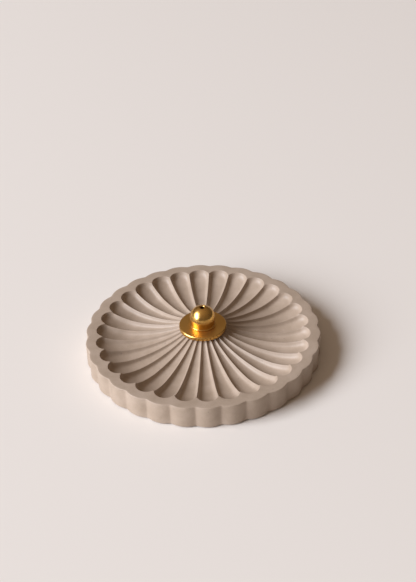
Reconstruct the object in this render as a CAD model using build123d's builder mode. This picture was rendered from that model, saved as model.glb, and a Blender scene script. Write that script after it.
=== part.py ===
from build123d import *
from math import cos, pi, radians, sin, sqrt, tan
import os

# Incense stick holder: a cast dish with a fluted bowl, and a turned brass holder dropped into its hub.
# The origin is on the table under the middle of the dish, Z points up and a flute points along -Y.

# Driving dimensions in millimetres
overrun = 1.0               # how far a cutting shape runs past what it cuts

# Dish: scalloped wall and flat rim
flute_count = 30            # flutes in the bowl, each in line with one lobe of the wall
crest_radius = 60.0         # axis to the crest of a lobe
lobe_depth = 1.1            # crest of a lobe to the valley beside it
valley_round = 2.0          # rounding at the bottom of a valley
dish_height = 12.2          # underside to the rim
rim_edge = 0.4              # rounding of the rim's outer edge
base_edge = 0.5             # chamfer round the underside
rim_width = 5.2             # crest of a lobe to the tip of its flute

# Dish: bowl, which dips inside the rim and climbs to a hub that stands above it
tip_reach = 2.4             # tip of a flute past the outer end of the ridges
bowl_depth = 3.45           # rim down to the lowest ring of the ridges
bowl_low_share = 0.716      # radius of that ring, as a share of the ridges' outer radius
hub_rise = 2.75             # rim up to the flat seat on the hub
seat_radius = 10.5          # where the ridges reach the seat
ridge_width = 0.45          # land left between two flutes
arch_radius = 5.5           # round end of a flute, at the rim
hub_flute_depth = 0.85      # ridge to floor of a flute at the hub
run_in_share = 0.75         # where a flute's cut starts, as a share of the seat's radius
station_count = 7           # sections along a flute
end_station_count = 6       # sections round the ball at its end
end_turn = 80               # degrees round that ball, up past the rim

# Stick holder: dome, collar and shank, turned in one
collar_radius = 6.2
collar_height = 4.5         # rosette to the widest ring of the dome
collar_bevel = 0.25         # round the collar's foot
stick_hole_radius = 1.2
stick_hole_depth = 10.0     # from the top of the dome
stick_hole_bevel = 0.25     # round the hole's mouth
shank_radius = 4.0
shank_depth = 10.0          # seat down to the shank's end
shank_bevel = 0.5           # round the shank's end
shank_clearance = 0.08      # all round the shank, in the rosette and in the bore
shank_end_gap = 0.5         # under the shank, in the bore

# Rosette: brass disc between the hub and the collar
rosette_radius = 12.0
rosette_thickness = 2.0
rosette_bevel = 0.6         # round its top edge
rosette_under_bevel = 0.2   # round its lower edge

# Feet: silicone pads in pockets under the dish
foot_count = 4
foot_ring_radius = 44.0
foot_radius = 4.0
foot_thickness = 1.5
foot_proud = 0.3            # below the dish's underside
foot_bevel = 0.15           # round the face that stands on the table
foot_clearance = 0.15       # round the pad in its pocket

# Heights above the table
rim_z = foot_proud + dish_height
seat_z = rim_z + hub_rise
low_z = rim_z - bowl_depth
rosette_top = seat_z + rosette_thickness
equator_z = rosette_top + collar_height
dome_top = equator_z + collar_radius
shank_end = seat_z - shank_depth

# Places in plan
front_angle = -90
half_pitch = pi / flute_count
pitch_degrees = 360 / flute_count
tip_radius = crest_radius - rim_width
ridge_radius = tip_radius - tip_reach
low_radius = ridge_radius * bowl_low_share
arch_centre = tip_radius - arch_radius

# The wall is a ring of lobe arcs, each tangent to the small arcs in the valleys on both sides of it
valley_centre = crest_radius - lobe_depth + valley_round
valley_inward = valley_centre * cos(half_pitch)
lobe_radius = (
    (crest_radius**2 + valley_centre**2 - valley_round**2 - 2 * crest_radius * valley_inward)
    / (2 * (crest_radius + valley_round - valley_inward))
)
lobe_centre = crest_radius - lobe_radius
lobe_half_angle = Vector(1, 0).get_angle(
    Vector(valley_inward - lobe_centre, valley_centre * sin(half_pitch))
)
valley_half_angle = lobe_half_angle - pitch_degrees / 2

# The ridges follow two arcs that are level at the lowest ring
rim_arc_radius = ((ridge_radius - low_radius)**2 + bowl_depth**2) / (2 * bowl_depth)
hub_arc_radius = ((low_radius - seat_radius)**2 + (seat_z - low_z)**2) / (2 * (seat_z - low_z))


def ridge_arc(radius):
    """Radius of the ridge's arc at this distance from the axis."""
    return rim_arc_radius if radius > low_radius else hub_arc_radius


def ridge_height(radius):
    """Height of the ridges at this distance from the axis."""
    arc = ridge_arc(radius)
    return low_z + arc - sqrt(arc**2 - (radius - low_radius)**2)


def ridge_slope(radius):
    """Rise of the ridges outwards at this distance from the axis."""
    return (radius - low_radius) / sqrt(ridge_arc(radius)**2 - (radius - low_radius)**2)


def flute_half(radius):
    """Half a flute's width between the lands at this distance from the axis."""
    return radius * tan(half_pitch) - ridge_width / 2


# A flute ends in a ball that meets the rim along the arch and the ridges along their lands
end_ridge_z = ridge_height(arch_centre)
end_half = flute_half(arch_centre)
ball_z = (rim_z + end_ridge_z) / 2 + (arch_radius**2 - end_half**2) / (2 * (rim_z - end_ridge_z))
ball_radius = sqrt(arch_radius**2 + (ball_z - rim_z)**2)
end_flute_depth = end_ridge_z - ball_z + ball_radius
depth_growth = (end_flute_depth - hub_flute_depth) / (arch_centre - seat_radius)


def flute_section(radius):
    """Plane through the centre of a flute's arc, square to its floor, and the arc's radius."""
    half = flute_half(radius)
    depth = hub_flute_depth + depth_growth * (radius - seat_radius)
    section_radius = (half**2 + depth**2) / (2 * depth)
    centre_z = ridge_height(radius) - depth + section_radius
    along = Vector(1, 0, ridge_slope(radius) - depth_growth)
    return Plane(origin=(radius, 0, centre_z), x_dir=(0, 1, 0), z_dir=along), section_radius


# Sections along one flute that lies along X, then round the ball at its end
run_in_radius = seat_radius * run_in_share
sections = []
for station in range(station_count):
    along_share = station / (station_count - 1)
    sections.append(flute_section(run_in_radius + (arch_centre - run_in_radius) * along_share))
end_plane = sections[-1][0]
for station in range(1, end_station_count + 1):
    turn = radians(end_turn) * station / end_station_count
    sections.append((end_plane.offset(ball_radius * sin(turn)), ball_radius * cos(turn)))

# One flute, as the shape that is cut from the bowl
with BuildPart() as flute:
    for section_plane, section_radius in sections:
        with BuildSketch(section_plane):
            with BuildLine():
                bottom = CenterArc((0, 0), section_radius, 180, 180)
                Polyline(bottom @ 1, (section_radius, overrun), (-section_radius, overrun), bottom @ 0)
            make_face()
    loft()

# Dish
with BuildPart() as dish:
    with BuildSketch(Plane.XY.offset(foot_proud)):
        with BuildLine():
            for lobe in range(flute_count):
                lobe_angle = front_angle + lobe * pitch_degrees
                valley_angle = lobe_angle + pitch_degrees / 2
                CenterArc(
                    Vector(lobe_centre, 0).rotate(Axis.Z, lobe_angle),
                    lobe_radius,
                    lobe_angle - lobe_half_angle,
                    2 * lobe_half_angle,
                )
                CenterArc(
                    Vector(valley_centre, 0).rotate(Axis.Z, valley_angle),
                    valley_round,
                    valley_angle + 180 + valley_half_angle,
                    -2 * valley_half_angle,
                )
        make_face()
    extrude(amount=dish_height)
    fillet(dish.faces().sort_by(Axis.Z)[-1].edges(), rim_edge)
    chamfer(dish.faces().sort_by(Axis.Z)[0].edges(), base_edge)
    # Stock for the hub, then the bowl down to its ridges
    with BuildSketch(Plane.XY.offset(rim_z)):
        Circle(low_radius)
    extrude(amount=hub_rise)
    with BuildSketch(Plane.XZ):
        with BuildLine():
            hub_arc = TangentArc((low_radius, low_z), (seat_radius, seat_z), tangent=(-1, 0))
            rim_arc = TangentArc((low_radius, low_z), (ridge_radius, rim_z), tangent=(1, 0))
            Polyline(
                rim_arc @ 1,
                (ridge_radius, seat_z + overrun),
                (seat_radius, seat_z + overrun),
                hub_arc @ 1,
            )
        make_face()
    revolve(axis=Axis.Z, mode=Mode.SUBTRACT)
    for turned in PolarLocations(0, flute_count, start_angle=front_angle):
        with Locations(turned):
            add(flute.part, mode=Mode.SUBTRACT)
    # Bore for the shank, and pockets for the feet
    with Locations((0, 0, seat_z)):
        Hole(shank_radius + shank_clearance, shank_depth + shank_end_gap)
    with BuildSketch(Plane.XY.offset(foot_proud)):
        with PolarLocations(foot_ring_radius, foot_count, start_angle=180 / foot_count):
            Circle(foot_radius + foot_clearance)
    extrude(amount=foot_thickness - foot_proud, mode=Mode.SUBTRACT)

# Rosette
with BuildPart() as rosette:
    with BuildSketch(Plane.XY.offset(seat_z)):
        Circle(rosette_radius)
        Circle(shank_radius + shank_clearance, mode=Mode.SUBTRACT)
    extrude(amount=rosette_thickness)
    rosette_rims = rosette.edges().filter_by(GeomType.CIRCLE).group_by(SortBy.RADIUS)[-1].sort_by(Axis.Z)
    chamfer(rosette_rims[-1], rosette_bevel)
    chamfer(rosette_rims[0], rosette_under_bevel)

# Stick holder
with BuildPart() as stick_holder:
    with BuildSketch(Plane.XZ):
        with BuildLine():
            dome = CenterArc((0, equator_z), collar_radius, 0, 90)
            Polyline(
                dome @ 1,
                (0, shank_end),
                (shank_radius - shank_bevel, shank_end),
                (shank_radius, shank_end + shank_bevel),
                (shank_radius, rosette_top),
                (collar_radius - collar_bevel, rosette_top),
                (collar_radius, rosette_top + collar_bevel),
                dome @ 0,
            )
        make_face()
    revolve(axis=Axis.Z)
    with Locations((0, 0, dome_top)):
        Hole(stick_hole_radius, stick_hole_depth)
    chamfer(stick_holder.edges().filter_by(GeomType.CIRCLE).sort_by(Axis.Z)[-1], stick_hole_bevel)

# Feet
feet = []
with BuildPart() as foot_pad:
    with BuildSketch(Plane.XY):
        Circle(foot_radius)
    extrude(amount=foot_thickness)
    chamfer(foot_pad.edges().group_by(Axis.Z)[0], foot_bevel)
for place in PolarLocations(foot_ring_radius, foot_count, start_angle=180 / foot_count):
    with BuildPart() as foot:
        add(foot_pad.part.moved(place))
    feet.append(foot.part)

# One file for each piece
os.makedirs("parts", exist_ok=True)
pieces = {"dish": dish.part, "rosette": rosette.part, "stick_holder": stick_holder.part}
for number, foot_part in enumerate(feet, start=1):
    pieces[f"foot_{number}"] = foot_part
for name, piece in pieces.items():
    piece.label = name
    export_step(piece, f"parts/{name}.step")
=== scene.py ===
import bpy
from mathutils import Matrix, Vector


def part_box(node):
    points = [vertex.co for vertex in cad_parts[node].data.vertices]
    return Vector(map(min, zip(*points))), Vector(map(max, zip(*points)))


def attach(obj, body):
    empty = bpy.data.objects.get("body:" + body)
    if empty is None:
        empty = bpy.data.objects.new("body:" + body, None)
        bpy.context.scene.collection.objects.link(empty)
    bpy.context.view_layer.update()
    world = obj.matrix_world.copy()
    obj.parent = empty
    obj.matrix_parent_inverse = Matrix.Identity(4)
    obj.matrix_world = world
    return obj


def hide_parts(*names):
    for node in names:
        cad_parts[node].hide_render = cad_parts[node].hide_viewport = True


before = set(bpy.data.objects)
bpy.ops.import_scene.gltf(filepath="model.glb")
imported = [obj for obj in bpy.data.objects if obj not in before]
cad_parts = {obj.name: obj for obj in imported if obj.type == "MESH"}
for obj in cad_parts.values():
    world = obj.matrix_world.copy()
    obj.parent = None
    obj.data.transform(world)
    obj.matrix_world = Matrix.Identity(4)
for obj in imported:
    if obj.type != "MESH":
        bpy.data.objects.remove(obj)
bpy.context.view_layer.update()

import ast
from math import acos, cos, pi, radians, sin, tan

import bmesh
import bpy
from mathutils import Matrix, Vector

# Incense stick holder: a cast dish with a fluted bowl, and a turned brass holder that drops into its hub.
# Dictionaries hold millimetres and degrees unless they say otherwise, and mm brings them to metres.
mm = 0.001
scene = bpy.context.scene
weld = 0.002  # points of a mesh that are closer than this become one


def linearColour(hexColour):  # "#RRGGBB" in sRGB to linear RGBA
    channels = [int(hexColour[i:i + 2], 16) / 255 for i in (1, 3, 5)]
    return [c / 12.92 if c <= 0.04045 else ((c + 0.055) / 1.055) ** 2.4 for c in channels] + [1.0]


def addNode(tree, kind, links=None, **settings):  # links: socket name or number to a node, socket or value
    node = tree.nodes.new(kind)
    for name, value in settings.items():
        setattr(node, name, value)
    for socket, value in (links or {}).items():
        several = isinstance(value, list) and isinstance(value[0], bpy.types.Node)
        for source in value if several else [value]:
            if isinstance(source, bpy.types.Node):
                source = next(output for output in source.outputs if output.enabled)
            if isinstance(source, bpy.types.NodeSocket):
                tree.links.new(source, node.inputs[socket])
            else:
                node.inputs[socket].default_value = source
    return node


# Shape rules are written as formulas, one "name = ..." a line, and become chains of Math nodes
formulaSigns = {
    ast.Add: "ADD", ast.Sub: "SUBTRACT", ast.Mult: "MULTIPLY", ast.Div: "DIVIDE", ast.Pow: "POWER",
}
formulaWords = {
    "sqrt": "SQRT", "abs": "ABSOLUTE", "sin": "SINE", "cos": "COSINE", "tan": "TANGENT",
    "min": "MINIMUM", "max": "MAXIMUM", "softMin": "SMOOTH_MIN",
}


def addFormula(tree, known, lines):  # each line's result joins the known values
    def build(part):
        if isinstance(part, ast.Constant):
            return part.value
        if isinstance(part, ast.Name):
            return known[part.id]
        if isinstance(part, ast.BinOp):
            operation, parts = formulaSigns[type(part.op)], (part.left, part.right)
        else:
            operation, parts = formulaWords[part.func.id], part.args
        links = {number: build(piece) for number, piece in enumerate(parts)}
        return addNode(tree, "ShaderNodeMath", links, operation=operation)

    for line in ast.parse("\n".join(lines)).body:
        known[line.targets[0].id] = build(line.value)


def newTree(name, sizes):  # one named input for each size
    tree = bpy.data.node_groups.new(name, "GeometryNodeTree")
    for label, value in sizes.items():
        kind = "NodeSocketInt" if isinstance(value, int) else "NodeSocketFloat"
        tree.interface.new_socket(name=label, in_out="INPUT", socket_type=kind)
    tree.interface.new_socket(name="Mesh", in_out="OUTPUT", socket_type="NodeSocketGeometry")
    entry = addNode(tree, "NodeGroupInput")
    known = {socket.name: socket for socket in entry.outputs if socket.name}
    known.update(index=addNode(tree, "GeometryNodeInputIndex"), halfTurn=pi, mm=mm)
    return tree, known


def finishTree(tree, instances, material):  # realized, welded, smooth and with its material
    real = addNode(tree, "GeometryNodeRealizeInstances", {"Geometry": instances})
    whole = addNode(tree, "GeometryNodeMergeByDistance", {"Geometry": real, "Distance": weld * mm})
    smooth = addNode(tree, "GeometryNodeSetShadeSmooth", {"Geometry": whole})
    painted = addNode(tree, "GeometryNodeSetMaterial", {"Geometry": smooth, "Material": material})
    addNode(tree, "NodeGroupOutput", {"Mesh": painted})


def meshToPiece(name, mesh, hardAngle):  # normals outwards, and edges past the angle kept hard
    work = bmesh.new()
    work.from_mesh(mesh)
    bmesh.ops.recalc_face_normals(work, faces=work.faces)
    work.to_mesh(mesh)
    work.free()
    mesh.shade_smooth()
    mesh.set_sharp_from_angle(angle=radians(hardAngle))
    mesh.name = name
    piece = bpy.data.objects.new(name, mesh)
    scene.collection.objects.link(piece)
    return piece


def treeToPiece(name, tree, sizes, hardAngle):  # runs the tree once and keeps its mesh
    carrier = bpy.data.objects.new(name + "Carrier", bpy.data.meshes.new(name + "Carrier"))
    modifier = carrier.modifiers.new(name, "NODES")
    modifier.node_group = tree
    for item in tree.interface.items_tree:
        if item.in_out == "INPUT":
            modifier[item.identifier] = sizes[item.name]
    scene.collection.objects.link(carrier)
    evaluated = carrier.evaluated_get(bpy.context.evaluated_depsgraph_get())
    mesh = bpy.data.meshes.new_from_object(evaluated)
    carrier.modifiers.remove(modifier)
    bpy.data.objects.remove(carrier)
    return meshToPiece(name, mesh, hardAngle)


def newMaterial(name):
    material = bpy.data.materials.new(name)
    material.use_nodes = True
    return material, material.node_tree, material.node_tree.nodes["Principled BSDF"]


# Cast mineral: gypsum and resin poured in a mould, so it is matt and even, with faint clouds, and pinholes
# darkened with painted shade
castLook = {
    "colour": "#B19D8A", "paleCloud": "#B8A492", "darkCloud": "#A99582", "cloudSize": 8.0,
    "darkUpTo": 0.3, "paleFrom": 0.7,  # of the clouds' noise, with the plain colour halfway
    "grainSize": 0.9, "grainHeight": 0.02, "grainBump": 0.35, "grainTint": 0.16,
    "grainDark": 0.1, "grainPale": 0.6,  # greys that tint the colour
    # the pinholes' colour is painted shade, standing in for the shade inside them
    "pinholeShade": "#98877A", "pinholeSpacing": 3.2,
    "pinholeShare": 0.13, "pinholeFloorShare": 0.55,  # of the spacing, and of that the flat bottom
    "emptyShare": 0.82,  # of the cells, which have no pinhole
    "roughness": 0.5, "roughnessSpread": 0.06, "refraction": 1.5,
}


def makeCastMineral():
    look = castLook
    material, tree, shader = newMaterial("castMineral")
    place = addNode(tree, "ShaderNodeTexCoord").outputs["Object"]
    clouds = addNode(tree, "ShaderNodeTexNoise", {
        "Vector": place, "Scale": 1 / (look["cloudSize"] * mm), "Detail": 5.0, "Roughness": 0.55})
    grain = addNode(tree, "ShaderNodeTexNoise", {
        "Vector": place, "Scale": 1 / (look["grainSize"] * mm), "Detail": 3.0, "Roughness": 0.6})
    cells = addNode(tree, "ShaderNodeTexVoronoi", {
        "Vector": place, "Scale": 1 / (look["pinholeSpacing"] * mm), "Randomness": 1.0})
    hole = addNode(tree, "ShaderNodeMapRange", {
        "Value": cells.outputs["Distance"], "From Min": look["pinholeShare"] * look["pinholeFloorShare"],
        "From Max": look["pinholeShare"], "To Min": 1.0, "To Max": 0.0})
    cellDraw = addNode(tree, "ShaderNodeSeparateColor", {"Color": cells.outputs["Color"]})
    few = addNode(tree, "ShaderNodeMath", {0: cellDraw, 1: look["emptyShare"]}, operation="GREATER_THAN")
    pinholeDentAndShade = addNode(tree, "ShaderNodeMath", {0: hole, 1: few}, operation="MULTIPLY")
    cloudColour = addNode(tree, "ShaderNodeValToRGB", {"Fac": clouds})
    ramp = cloudColour.color_ramp
    dark, pale = ramp.elements
    dark.position = look["darkUpTo"]
    dark.color = linearColour(look["darkCloud"])
    pale.position = look["paleFrom"]
    pale.color = linearColour(look["paleCloud"])
    halfway = (look["darkUpTo"] + look["paleFrom"]) / 2
    ramp.elements.new(halfway).color = linearColour(look["colour"])
    grainTone = addNode(tree, "ShaderNodeMapRange", {
        "Value": grain, "To Min": look["grainDark"], "To Max": look["grainPale"]})
    grained = addNode(tree, "ShaderNodeMix", {
        "Factor": look["grainTint"], 6: cloudColour, 7: grainTone}, data_type="RGBA", blend_type="OVERLAY")
    # painted shade: the pinholes take a darker colour, as the shade inside them would look
    pinholeShaded = addNode(tree, "ShaderNodeMix", {
        "Factor": pinholeDentAndShade, 6: grained.outputs[2], 7: linearColour(look["pinholeShade"])}, data_type="RGBA")
    height = addNode(tree, "ShaderNodeMath", {0: grain, 1: pinholeDentAndShade}, operation="SUBTRACT")
    bump = addNode(tree, "ShaderNodeBump", {
        "Strength": look["grainBump"], "Distance": look["grainHeight"] * mm, "Height": height})
    rough = addNode(tree, "ShaderNodeMapRange", {
        "Value": grain, "To Min": look["roughness"] - look["roughnessSpread"],
        "To Max": look["roughness"] + look["roughnessSpread"]})
    tree.links.new(pinholeShaded.outputs[2], shader.inputs["Base Color"])
    tree.links.new(rough.outputs[0], shader.inputs["Roughness"])
    tree.links.new(bump.outputs[0], shader.inputs["Normal"])
    shader.inputs["IOR"].default_value = look["refraction"]
    return material


# Turned brass: polished on the lathe, so it mirrors softly, with faint rings round its axis
brassLook = {
    "colour": "#E8BB6E", "warm": "#DEAC5B", "polish": 0.26,  # dome, bead and shank, and the disc's side
    "discTopShadeColour": "#E3B465", "satin": 0.39,  # top of the disc, satin, with a darker colour that is painted shade
    "collarShadeColour": "#CE9B49", "brushed": 0.33,  # collar, brushed, with a darker colour that is painted shade under the dome's lip
    "ringSpacing": 0.7, "ringHeight": 0.004, "ringBump": 0.3,
    "smudgeSize": 5.0, "cleanUpTo": 0.3, "smudgedFrom": 0.75,  # of the smudges' noise
    "cleanShare": 0.8, "smudgedShare": 1.4,  # of the polish
}


def makeTurnedBrass(name, lowest, highest, bandShadeColour, bandRoughness):  # duller between the two heights, and painted darker there as shade
    look = brassLook
    material, tree, shader = newMaterial(name)
    place = addNode(tree, "ShaderNodeTexCoord").outputs["Object"]
    smudges = addNode(tree, "ShaderNodeTexNoise", {
        "Vector": place, "Scale": 1 / (look["smudgeSize"] * mm), "Detail": 4.0, "Roughness": 0.6})
    # real tool marks are finer than a pixel, so the rings are drawn wider apart
    ringScale = pi / 10 / (look["ringSpacing"] * mm)  # at a scale of 1 they lie pi / 10 apart
    rings = addNode(tree, "ShaderNodeTexWave", {
        "Vector": place, "Scale": ringScale, "Distortion": 1.2, "Detail": 2.0},
        wave_type="RINGS", rings_direction="Z")
    tone = addNode(tree, "ShaderNodeMix", {
        "Factor": smudges, 6: linearColour(look["colour"]), 7: linearColour(look["warm"])},
        data_type="RGBA")
    rough = addNode(tree, "ShaderNodeMapRange", {
        "Value": smudges, "From Min": look["cleanUpTo"], "From Max": look["smudgedFrom"],
        "To Min": look["polish"] * look["cleanShare"], "To Max": look["polish"] * look["smudgedShare"]})
    height = addNode(tree, "ShaderNodeSeparateXYZ", {0: place}).outputs[2]
    dullAndShadedBand = addNode(tree, "ShaderNodeMath", {
        0: height, 1: (lowest + highest) / 2 * mm, 2: (highest - lowest) / 2 * mm}, operation="COMPARE")
    # painted shade: inside the band the brass takes a darker colour
    bandShaded = addNode(tree, "ShaderNodeMix", {
        "Factor": dullAndShadedBand, 6: tone.outputs[2], 7: linearColour(bandShadeColour)}, data_type="RGBA")
    finish = addNode(tree, "ShaderNodeMix", {"Factor": dullAndShadedBand, 2: rough, 3: bandRoughness})
    bump = addNode(tree, "ShaderNodeBump", {
        "Strength": look["ringBump"], "Distance": look["ringHeight"] * mm, "Height": rings.outputs["Fac"]})
    tree.links.new(bandShaded.outputs[2], shader.inputs["Base Color"])
    tree.links.new(finish.outputs[0], shader.inputs["Roughness"])
    tree.links.new(bump.outputs[0], shader.inputs["Normal"])
    shader.inputs["Metallic"].default_value = 1.0
    return material


# Moulded silicone: soft and matt, a little cloudy
siliconeLook = {
    "colour": "#B7B2AA", "cloud": "#A9A39A", "cloudSize": 2.0,
    "skinSize": 0.25, "skinHeight": 0.02, "skinBump": 0.3,
    "roughness": 0.6, "refraction": 1.41,
}


def makeSilicone():
    look = siliconeLook
    material, tree, shader = newMaterial("mouldedSilicone")
    place = addNode(tree, "ShaderNodeTexCoord").outputs["Object"]
    clouds = addNode(tree, "ShaderNodeTexNoise", {
        "Vector": place, "Scale": 1 / (look["cloudSize"] * mm), "Detail": 3.0})
    skin = addNode(tree, "ShaderNodeTexNoise", {"Vector": place, "Scale": 1 / (look["skinSize"] * mm)})
    tone = addNode(tree, "ShaderNodeMix", {
        "Factor": clouds, 6: linearColour(look["colour"]), 7: linearColour(look["cloud"])},
        data_type="RGBA")
    bump = addNode(tree, "ShaderNodeBump", {
        "Strength": look["skinBump"], "Distance": look["skinHeight"] * mm, "Height": skin})
    tree.links.new(tone.outputs[2], shader.inputs["Base Color"])
    tree.links.new(bump.outputs[0], shader.inputs["Normal"])
    shader.inputs["Roughness"].default_value = look["roughness"]
    shader.inputs["IOR"].default_value = look["refraction"]
    return material


# Dish: one sector with its flute and its lobe of the wall, repeated round the axis
dishLow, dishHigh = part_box("dish")
rosetteLow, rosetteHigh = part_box("rosette")
holderLow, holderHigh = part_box("stick_holder")
footLow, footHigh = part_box("foot_1")
dishSizes = {
    "fluteCount": 30,
    "crestRadius": dishHigh.y / mm,  # axis to the crest of a lobe
    "lobeDepth": 1.15, "valleySoft": 0.8,  # crest to valley, and the valley's rounding
    "undersideZ": dishLow.z / mm, "rimZ": 12.5, "seatZ": dishHigh.z / mm,
    "rimEdge": 0.35, "baseEdge": 0.5,  # rounding above and bevel below
    "tipRadius": 54.8, "archRadius": 5.46, "archSoft": 0.6,  # round end of a flute at the rim
    "ribRadius": 52.4, "lowRadius": 37.52, "lowZ": 9.05,  # outer end and lowest ring of the ribs
    "floorShare": 0.15, "ribPower": 9.0, "ribSoft": 0.3,  # how a flute's section climbs to the ribs
    "seatRadius": 10.5, "seatSoft": 0.4, "hubDepth": 1.0,  # hub, and a flute's depth beside it
    "boreRadius": 4.08, "boreDepth": 10.5,
    "padCount": 4, "pocketRing": 44.0, "pocketRadius": 4.15, "pocketDepth": (footHigh.z - dishLow.z) / mm,
    # points of the mesh, across a sector and then along each of its sheets
    "acrossPoints": 25, "borePoints": 3, "flutePoints": 63, "scoopPoints": 15, "rimPoints": 9,
    "wallPoints": 16, "pocketPoints": 64,
}
dishHardAngle = 42.0

sectorRules = [  # across runs from rib to rib, with more points near them
    "halfPitch = halfTurn / fluteCount",
    "across = sin(gridX * halfTurn / 2)",
    "along = gridY + 0.5",
    "turn = (0 - across) * halfPitch",
    "spread = 1 - abs(across)",
]
ribRules = [  # ribs follow two arcs that are level at the lowest ring
    "rimArc = ((ribRadius - lowRadius)**2 + (rimZ - lowZ)**2) / (2 * (rimZ - lowZ))",
    "hubArc = ((lowRadius - seatRadius)**2 + (seatZ - lowZ)**2) / (2 * (seatZ - lowZ))",
    "archCentre = tipRadius - archRadius",
    "endRoot = sqrt(rimArc**2 - (archCentre - lowRadius)**2)",
    "endRib = lowZ + rimArc - endRoot",
    "endHalf = archCentre * tan(halfPitch)",
    # a flute's section is flat in the middle and steep at the ribs
    # its round end goes on climbing in the same way and reaches the rim along the arch
    "widen = archRadius / endHalf",
    "ribShare = floorShare / widen**2 + (1 - floorShare) / widen**ribPower",
    "endDepth = (rimZ - endRib) * ribShare / (1 - ribShare)",
    "endFloor = endRib - endDepth",
    "depthGrowth = (endDepth - hubDepth) / (archCentre - seatRadius)",
    "endSlope = (archCentre - lowRadius) / endRoot - depthGrowth",
]
boreRules = [  # bottom of the bore, then its wall
    "radius = boreRadius * min(along * 2, 1)",
    "x = radius * cos(turn)",
    "y = radius * sin(turn)",
    "z = seatZ - boreDepth * min(2 - along * 2, 1)",
]
fluteRules = [  # wider and deeper outwards, with rounded ribs between
    "station = boreRadius + along * (archCentre - boreRadius)",
    "soft = ribSoft / (station * tan(halfPitch))",
    "fall = (sqrt(spread**2 + soft**2) - soft) / (sqrt(1 + soft**2) - soft)",
    "outwards = max(station - lowRadius, 0)",
    "inwards = max(lowRadius - station, 0)",
    "rib = lowZ + rimArc - sqrt(rimArc**2 - outwards**2) + hubArc - sqrt(hubArc**2 - inwards**2)",
    "depth = hubDepth + depthGrowth * (station - seatRadius)",
    "share = (1 - fall) / widen",
    "section = floorShare * share**2 + (1 - floorShare) * share**ribPower",
    "x = station * (cos(turn) + (1 - cos(turn)) * along)",
    "y = x * tan(turn)",
    "z = softMin(rib - depth + depth * section / ribShare, seatZ, seatSoft)",
]
endStart = [  # where the arch lies at this turn
    "soft = ribSoft / endHalf",
    "fall = (sqrt(spread**2 + soft**2) - soft) / (sqrt(1 + soft**2) - soft)",
    "lateral = endHalf * (1 - fall)",
    "endX = archCentre + sqrt(archRadius**2 - lateral**2)",
]
endHeight = [  # climb of a flute's round end, softly cut off by the rim
    "reach = x - archCentre",
    "share = max(sqrt(reach**2 + lateral**2) / archRadius, 0.001)",  # never zero, because it divides
    "section = floorShare * share**2 + (1 - floorShare) * share**ribPower",
    "climb = rimZ - endFloor - endSlope * reach / share",
    "z = softMin(endFloor + endSlope * reach + climb * section, rimZ, archSoft)",
]
scoopRules = endStart + [
    "x = archCentre + sin(along * halfTurn / 2) * (endX - archCentre)",
    "y = x * tan(turn)",
] + endHeight
wallOutline = [  # each lobe is an arc from valley to valley, with the valleys rounded
    "valley = crestRadius - lobeDepth",
    "lobeCentre = (crestRadius**2 - valley**2) / (2 * (crestRadius - valley * cos(halfPitch)))",
    "lobeRadius = crestRadius - lobeCentre",
    "wallSoft = valleySoft / (crestRadius * tan(halfPitch))",
    "wallFall = (sqrt(spread**2 + wallSoft**2) - wallSoft) / (sqrt(1 + wallSoft**2) - wallSoft)",
    "bend = halfPitch * (1 - wallFall)",
    "outline = lobeCentre * cos(bend) + sqrt(lobeRadius**2 - (lobeCentre * sin(bend))**2)",
]
rimRules = endStart + wallOutline + [  # flat, from the arch out to the wall's rounded edge
    "innerEdge = endX / cos(turn)",
    "radius = innerEdge + along**2 * (outline - rimEdge - innerEdge)",
    "x = radius * cos(turn)",
    "y = radius * sin(turn)",
] + endHeight
wallRules = wallOutline + [  # rounded edge, straight wall and bevel, each with a third of the points
    "arcTurn = min(along * 3, 1) * halfTurn / 2",
    "drop = min(max(along * 3 - 1, 0), 1)",
    "tuck = max(along * 3 - 2, 0)",
    "radius = outline - rimEdge * (1 - sin(arcTurn)) - baseEdge * tuck",
    "x = radius * cos(turn)",
    "y = radius * sin(turn)",
    "edgeZ = rimZ - rimEdge * (1 - cos(arcTurn))",
    "z = edgeZ - (rimZ - rimEdge - undersideZ - baseEdge) * drop - baseEdge * tuck",
]
sheetRules = {  # sheets of a sector from the axis outwards, each beside its number of points
    "borePoints": boreRules, "flutePoints": fluteRules, "scoopPoints": scoopRules,
    "rimPoints": rimRules, "wallPoints": wallRules,
}
repeatRules = [  # sectors round the axis with a flute towards the front, and pockets for the feet
    "sectorTurn = index * 2 * halfTurn / fluteCount - halfTurn / 2",
    "padTurn = (index + 0.5) * 2 * halfTurn / padCount",
    "padX = pocketRing * cos(padTurn) * mm",
    "padY = pocketRing * sin(padTurn) * mm",
    "pocketEdge = pocketRadius * mm",
    "baseZ = undersideZ * mm",
    "pocketRise = pocketDepth * mm",
    "pocketZ = baseZ + pocketRise",
]


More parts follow.
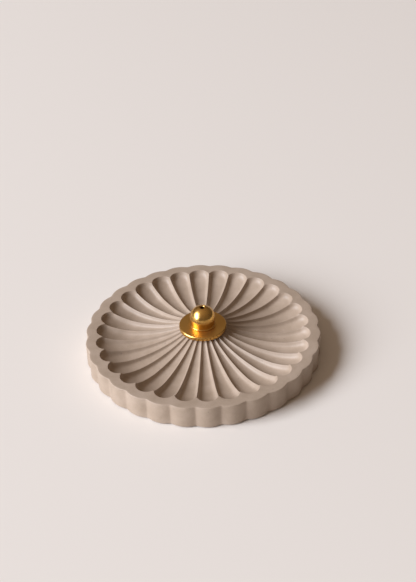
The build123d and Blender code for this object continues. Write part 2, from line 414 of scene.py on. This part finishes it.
def makeDish():
    tree, known = newTree("flutedDish", dishSizes)
    spot = addNode(tree, "ShaderNodeSeparateXYZ", {0: addNode(tree, "GeometryNodeInputPosition")})
    known.update(gridX=spot.outputs[0], gridY=spot.outputs[1])
    addFormula(tree, known, sectorRules + ribRules + repeatRules)
    sheets = []
    for points, rules in sheetRules.items():
        here = dict(known)
        addFormula(tree, here, rules)
        point = addNode(tree, "ShaderNodeCombineXYZ", {0: here["x"], 1: here["y"], 2: here["z"]})
        metres = addNode(tree, "ShaderNodeVectorMath", {0: point, "Scale": mm}, operation="SCALE")
        grid = addNode(tree, "GeometryNodeMeshGrid", {  # gridX from -1 to 1 and gridY from -0.5 to 0.5
            "Size X": 2.0, "Size Y": 1.0, "Vertices X": known["acrossPoints"], "Vertices Y": known[points]})
        sheets.append(addNode(tree, "GeometryNodeSetPosition", {"Geometry": grid, "Position": metres}))
    sector = addNode(tree, "GeometryNodeJoinGeometry", {"Geometry": sheets})
    ring = addNode(tree, "GeometryNodePoints", {"Count": known["fluteCount"]})
    turned = addNode(tree, "FunctionNodeEulerToRotation", {
        0: addNode(tree, "ShaderNodeCombineXYZ", {2: known["sectorTurn"]})})
    sectors = addNode(tree, "GeometryNodeInstanceOnPoints", {
        "Points": ring, "Instance": sector, "Rotation": turned})
    shell = addNode(tree, "GeometryNodeMergeByDistance", {
        "Geometry": addNode(tree, "GeometryNodeRealizeInstances", {"Geometry": sectors}),
        "Distance": weld * mm})
    # underside: what the wall's lowest edge encloses, less the pockets for the feet
    neighbours = addNode(tree, "GeometryNodeInputMeshEdgeNeighbors")
    openEdge = addNode(tree, "ShaderNodeMath", {0: neighbours, 1: 1.5}, operation="LESS_THAN")  # one face
    border = addNode(tree, "GeometryNodeMeshToCurve", {"Mesh": shell, "Selection": openEdge})
    pads = addNode(tree, "GeometryNodePoints", {
        "Count": known["padCount"],
        "Position": addNode(tree, "ShaderNodeCombineXYZ", {0: known["padX"], 1: known["padY"]})})
    circle = addNode(tree, "GeometryNodeCurvePrimitiveCircle", {
        "Resolution": known["pocketPoints"], "Radius": known["pocketEdge"]})
    circles = addNode(tree, "GeometryNodeRealizeInstances", {
        "Geometry": addNode(tree, "GeometryNodeInstanceOnPoints", {"Points": pads, "Instance": circle})})
    underside = addNode(tree, "GeometryNodeFillCurve", {
        "Curve": addNode(tree, "GeometryNodeJoinGeometry", {"Geometry": [border, circles]})})
    ceilings = addNode(tree, "GeometryNodeFillCurve", {"Curve": circles})
    loops = addNode(tree, "GeometryNodeCurveToMesh", {"Curve": circles})
    sides = addNode(tree, "GeometryNodeExtrudeMesh", {
        "Mesh": loops, "Offset": (0.0, 0.0, 1.0), "Offset Scale": known["pocketRise"]}, mode="EDGES")
    raised = []
    for flat, height in ((underside, "baseZ"), (ceilings, "pocketZ"), (sides, "baseZ")):
        lift = addNode(tree, "ShaderNodeCombineXYZ", {2: known[height]})
        raised.append(addNode(tree, "GeometryNodeTransform", {"Geometry": flat, "Translation": lift}))
    whole = addNode(tree, "GeometryNodeJoinGeometry", {"Geometry": [shell] + raised})
    finishTree(tree, whole, makeCastMineral())
    return treeToPiece("dishCast", tree, dishSizes, dishHardAngle)


dishPiece = makeDish()
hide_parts("dish")
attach(dishPiece, "dish")
print("dish made,", len(dishPiece.data.polygons), "faces")


def roundOff(points, radii, steps):  # an outline with each corner rounded by its own radius
    outline = []
    for number, (corner, radius) in enumerate(zip(points, radii)):
        corner = Vector(corner)
        if not radius:
            outline.append(corner)
            continue
        before = (Vector(points[number - 1]) - corner).normalized()
        after = (Vector(points[number + 1]) - corner).normalized()
        half = before.angle(after) / 2
        middle = corner + (before + after).normalized() * (radius / sin(half))
        first = corner + before * (radius / tan(half)) - middle
        last = corner + after * (radius / tan(half)) - middle
        for step in range(steps + 1):
            outline.append(middle + first.slerp(last, step / steps) * radius)
    return outline


def arcPoints(centre, radius, fromTurn, toTurn, steps):  # turns in radians, level outwards is zero
    turns = [fromTurn + (toTurn - fromTurn) * step / steps for step in range(steps + 1)]
    return [Vector(centre) + Vector((cos(turn), sin(turn))) * radius for turn in turns]


def turnOutline(name, outline, material, segments, hardAngle):  # lathe work on (radius, height) in mm
    work = bmesh.new()
    corners = [work.verts.new((radius * mm, 0, height * mm)) for radius, height in outline]
    edges = [work.edges.new(pair) for pair in zip(corners, corners[1:])]
    bmesh.ops.spin(work, geom=corners + edges, cent=(0, 0, 0), axis=(0, 0, 1), angle=2 * pi,
                   steps=segments, use_merge=True)
    bmesh.ops.remove_doubles(work, verts=work.verts, dist=weld * mm)
    mesh = bpy.data.meshes.new(name)
    work.to_mesh(mesh)
    work.free()
    mesh.materials.append(material)
    return meshToPiece(name, mesh, hardAngle)


# Rosette: flat disc, its top edge bevelled and the bevel's corners broken
rosetteSizes = {
    "radius": rosetteHigh.x / mm, "under": rosetteLow.z / mm, "top": rosetteHigh.z / mm,
    "holeRadius": dishSizes["boreRadius"],
    "bevel": 0.3, "underBevel": 0.2, "corner": 0.1, "cornerSteps": 4,
    "segments": 160, "hardAngle": 30.0,
}


def makeRosette():
    size = rosetteSizes
    hole, outer, corner = size["holeRadius"], size["radius"], size["corner"]
    under, top = size["under"], size["top"]
    points = [
        (hole, under), (outer - size["underBevel"], under), (outer, under + size["underBevel"]),
        (outer, top - size["bevel"]), (outer - size["bevel"], top), (hole, top)]
    outline = roundOff(points, [0, 0, 0, corner, corner, 0], size["cornerSteps"])
    # the disc's top is satin brass, and its darker colour is painted shade
    brass = makeTurnedBrass(
        "turnedBrassDisc", top - corner, top + corner, brassLook["discTopShadeColour"], brassLook["satin"])
    return turnOutline(
        "rosetteTurned", outline + outline[:1], brass, size["segments"], size["hardAngle"])


rosettePiece = makeRosette()
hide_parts("rosette")
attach(rosettePiece, "rosette")
print("rosette made")

# Stick holder: dome, collar and shank turned in one
holderSizes = {
    "collarRadius": holderHigh.x / mm, "collarFoot": rosetteHigh.z / mm,
    "beadSize": 0.9, "beadSteps": 8,  # thin bead round the collar's foot
    "domeRadius": 6.5, "domeRise": 4.15, "domeSteps": 40,  # rise from the foot to the widest ring
    "lipSteps": 8,  # round the dome's lip over the collar
    "shankRadius": 4.0, "shankEnd": holderLow.z / mm, "shankBevel": 0.5, "corner": 0.15, "cornerSteps": 3,
    "holeRadius": 1.2, "holeDepth": 10.0, "holeBevel": 0.25,
    "segments": 128, "hardAngle": 32.0,
}


def makeStickHolder():
    size = holderSizes
    collar, foot, bead = size["collarRadius"], size["collarFoot"], size["beadSize"] / 2
    dome, equator = size["domeRadius"], size["collarFoot"] + size["domeRise"]
    lip, hole, holeEnd = dome - collar, size["holeRadius"], equator + dome - size["holeDepth"]
    shank, shankEnd, bevel = size["shankRadius"], size["shankEnd"], size["shankBevel"]
    points = [
        (0, shankEnd), (shank - bevel, shankEnd), (shank, shankEnd + bevel), (shank, foot), (collar, foot)]
    outline = roundOff(points, [0, size["corner"], size["corner"], 0, 0], size["cornerSteps"])
    outline += arcPoints((collar, foot + bead), bead, -pi / 2, pi / 2, size["beadSteps"])
    outline += arcPoints((collar, equator), lip, -pi / 2, 0, size["lipSteps"])
    mouthTurn = acos((hole + size["holeBevel"]) / dome)
    outline += arcPoints((0, equator), dome, 0, mouthTurn, size["domeSteps"])
    outline += [(hole, outline[-1].y - size["holeBevel"]), (hole, holeEnd), (0, holeEnd)]
    # the collar's band is rougher brass, and its darker colour is painted shade
    brass = makeTurnedBrass(
        "turnedBrassHolder", foot + size["beadSize"], equator - lip,
        brassLook["collarShadeColour"], brassLook["brushed"])
    return turnOutline("stickHolderTurned", outline, brass, size["segments"], size["hardAngle"])


holderPiece = makeStickHolder()
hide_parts("stick_holder")
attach(holderPiece, "stick_holder")
print("stick holder made")

# Feet: one moulded pad, set out by a tree on the ring of pockets
padSizes = {
    "padCount": dishSizes["padCount"], "padRing": dishSizes["pocketRing"],
    "padRadius": (footHigh.x - footLow.x) / mm / 2, "padHeight": footHigh.z / mm,
    "padEdge": 0.15, "padPoints": 64,
}
padHardAngle = 30.0
padRules = [
    "padTurn = (index + 0.5) * 2 * halfTurn / padCount",
    "padX = padRing * cos(padTurn) * mm",
    "padY = padRing * sin(padTurn) * mm",
    "soleRadius = (padRadius - padEdge) * mm",
    "flare = padRadius / (padRadius - padEdge)",
    "edgeRise = padEdge * mm",
    "wallRise = (padHeight - padEdge) * mm",
]


def makeFeet():
    tree, known = newTree("footPads", padSizes)
    addFormula(tree, known, padRules)
    sole = addNode(tree, "GeometryNodeMeshCircle", {
        "Vertices": known["padPoints"], "Radius": known["soleRadius"]}, fill_type="NGON")
    edge = addNode(tree, "GeometryNodeExtrudeMesh", {
        "Mesh": sole, "Offset": (0.0, 0.0, 1.0), "Offset Scale": known["edgeRise"]}, mode="FACES")
    flared = addNode(tree, "GeometryNodeScaleElements", {
        "Geometry": edge.outputs["Mesh"], "Selection": edge.outputs["Top"], "Scale": known["flare"]})
    body = addNode(tree, "GeometryNodeExtrudeMesh", {
        "Mesh": flared, "Selection": edge.outputs["Top"], "Offset": (0.0, 0.0, 1.0),
        "Offset Scale": known["wallRise"]}, mode="FACES")
    pad = addNode(tree, "GeometryNodeJoinGeometry", {"Geometry": [body, sole]})
    points = addNode(tree, "GeometryNodePoints", {
        "Count": known["padCount"],
        "Position": addNode(tree, "ShaderNodeCombineXYZ", {0: known["padX"], 1: known["padY"]})})
    pads = addNode(tree, "GeometryNodeInstanceOnPoints", {"Points": points, "Instance": pad})
    finishTree(tree, pads, makeSilicone())
    return treeToPiece("footPads", tree, padSizes, padHardAngle)


feetPiece = makeFeet()
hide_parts("foot_1", "foot_2", "foot_3", "foot_4")
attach(feetPiece, "dish")
print("feet made")

# Floor: a plain pale sheet, its size in metres
floorLook = {"colour": "#EAE3DB", "size": 16.0, "roughness": 0.95, "gloss": 0.1}


def makeFloor():
    look = floorLook
    material, _, shader = newMaterial("paleBackdrop")
    shader.inputs["Base Color"].default_value = linearColour(look["colour"])
    shader.inputs["Roughness"].default_value = look["roughness"]
    shader.inputs["Specular IOR Level"].default_value = look["gloss"]
    reach = look["size"] / 2
    corners = [(x * reach, y * reach, 0) for x, y in ((-1, -1), (1, -1), (1, 1), (-1, 1))]
    mesh = bpy.data.meshes.new("floor")
    mesh.from_pydata(corners, [], [(0, 1, 2, 3)])
    mesh.materials.append(material)
    floor = bpy.data.objects.new("floor", mesh)
    scene.collection.objects.link(floor)


# Light: one long softbox at the left, tilted so that its lower end comes round to the front, under a warm
# ceiling that is dim at the horizon and on the right
lightLook = {
    "azimuth": 199.0, "elevation": 31.0, "roll": -45.0,
    "distance": 6.0, "length": 6.0, "width": 3.0,  # metres
    "power": 658.0, "softboxColour": "#EEF4FF",  # watts
    "ceilingColour": "#FFE0C4", "ceiling": 0.36, "horizon": 0.06,  # strengths
    "leftShare": 1.2, "rightShare": 0.6,  # of those strengths
}


def makeLight():
    look = lightLook
    turn, rise = radians(look["azimuth"]), radians(look["elevation"])
    towards = Vector((cos(turn) * cos(rise), sin(turn) * cos(rise), sin(rise)))
    lamp = bpy.data.lights.new("softbox", "AREA")
    lamp.shape = "ELLIPSE"
    lamp.size = look["length"]
    lamp.size_y = look["width"]
    lamp.energy = look["power"]
    lamp.color = linearColour(look["softboxColour"])[:3]
    softbox = bpy.data.objects.new("softbox", lamp)
    softbox.matrix_world = (
        Matrix.Translation(towards * look["distance"])
        @ towards.to_track_quat("Z", "Y").to_matrix().to_4x4()
        @ Matrix.Rotation(radians(look["roll"]), 4, "Z"))
    scene.collection.objects.link(softbox)
    world = bpy.data.worlds.new("studio")
    world.use_nodes = True
    tree = world.node_tree
    direction = addNode(tree, "ShaderNodeSeparateXYZ", {0: addNode(tree, "ShaderNodeTexCoord")})
    byHeight = addNode(tree, "ShaderNodeMapRange", {
        "Value": direction.outputs[2], "To Min": look["horizon"], "To Max": look["ceiling"]})
    bySide = addNode(tree, "ShaderNodeMapRange", {
        "Value": direction.outputs[0], "From Min": -1.0,
        "To Min": look["leftShare"], "To Max": look["rightShare"]})
    strength = addNode(tree, "ShaderNodeMath", {0: byHeight, 1: bySide}, operation="MULTIPLY")
    background = tree.nodes["Background"]
    background.inputs["Color"].default_value = linearColour(look["ceilingColour"])
    tree.links.new(strength.outputs[0], background.inputs["Strength"])
    scene.world = world


# Camera: its place is measured from the middle of the rim
cameraLook = {
    "lens": 76.7, "sensor": 36.0, "nearest": 10.0,
    "right": 3.25, "back": 502.7, "above": 387.4,
    "pitch": 35.77, "roll": -1.92, "turn": -1.52,
}


def makeCamera():
    look = cameraLook
    data = bpy.data.cameras.new("camera")
    data.lens = look["lens"]
    data.sensor_width = look["sensor"]
    data.clip_start = look["nearest"] * mm
    camera = bpy.data.objects.new("camera", data)
    place = Vector((look["right"], -look["back"], look["above"] + dishSizes["rimZ"])) * mm
    camera.matrix_world = (
        Matrix.Rotation(radians(look["turn"]), 4, "Z") @ Matrix.Translation(place)
        @ Matrix.Rotation(radians(90 - look["pitch"]), 4, "X")
        @ Matrix.Rotation(radians(look["roll"]), 4, "Z"))
    scene.collection.objects.link(camera)
    scene.camera = camera


makeFloor()
makeLight()
makeCamera()
scene.view_settings.view_transform = "Standard"
print("stage made")
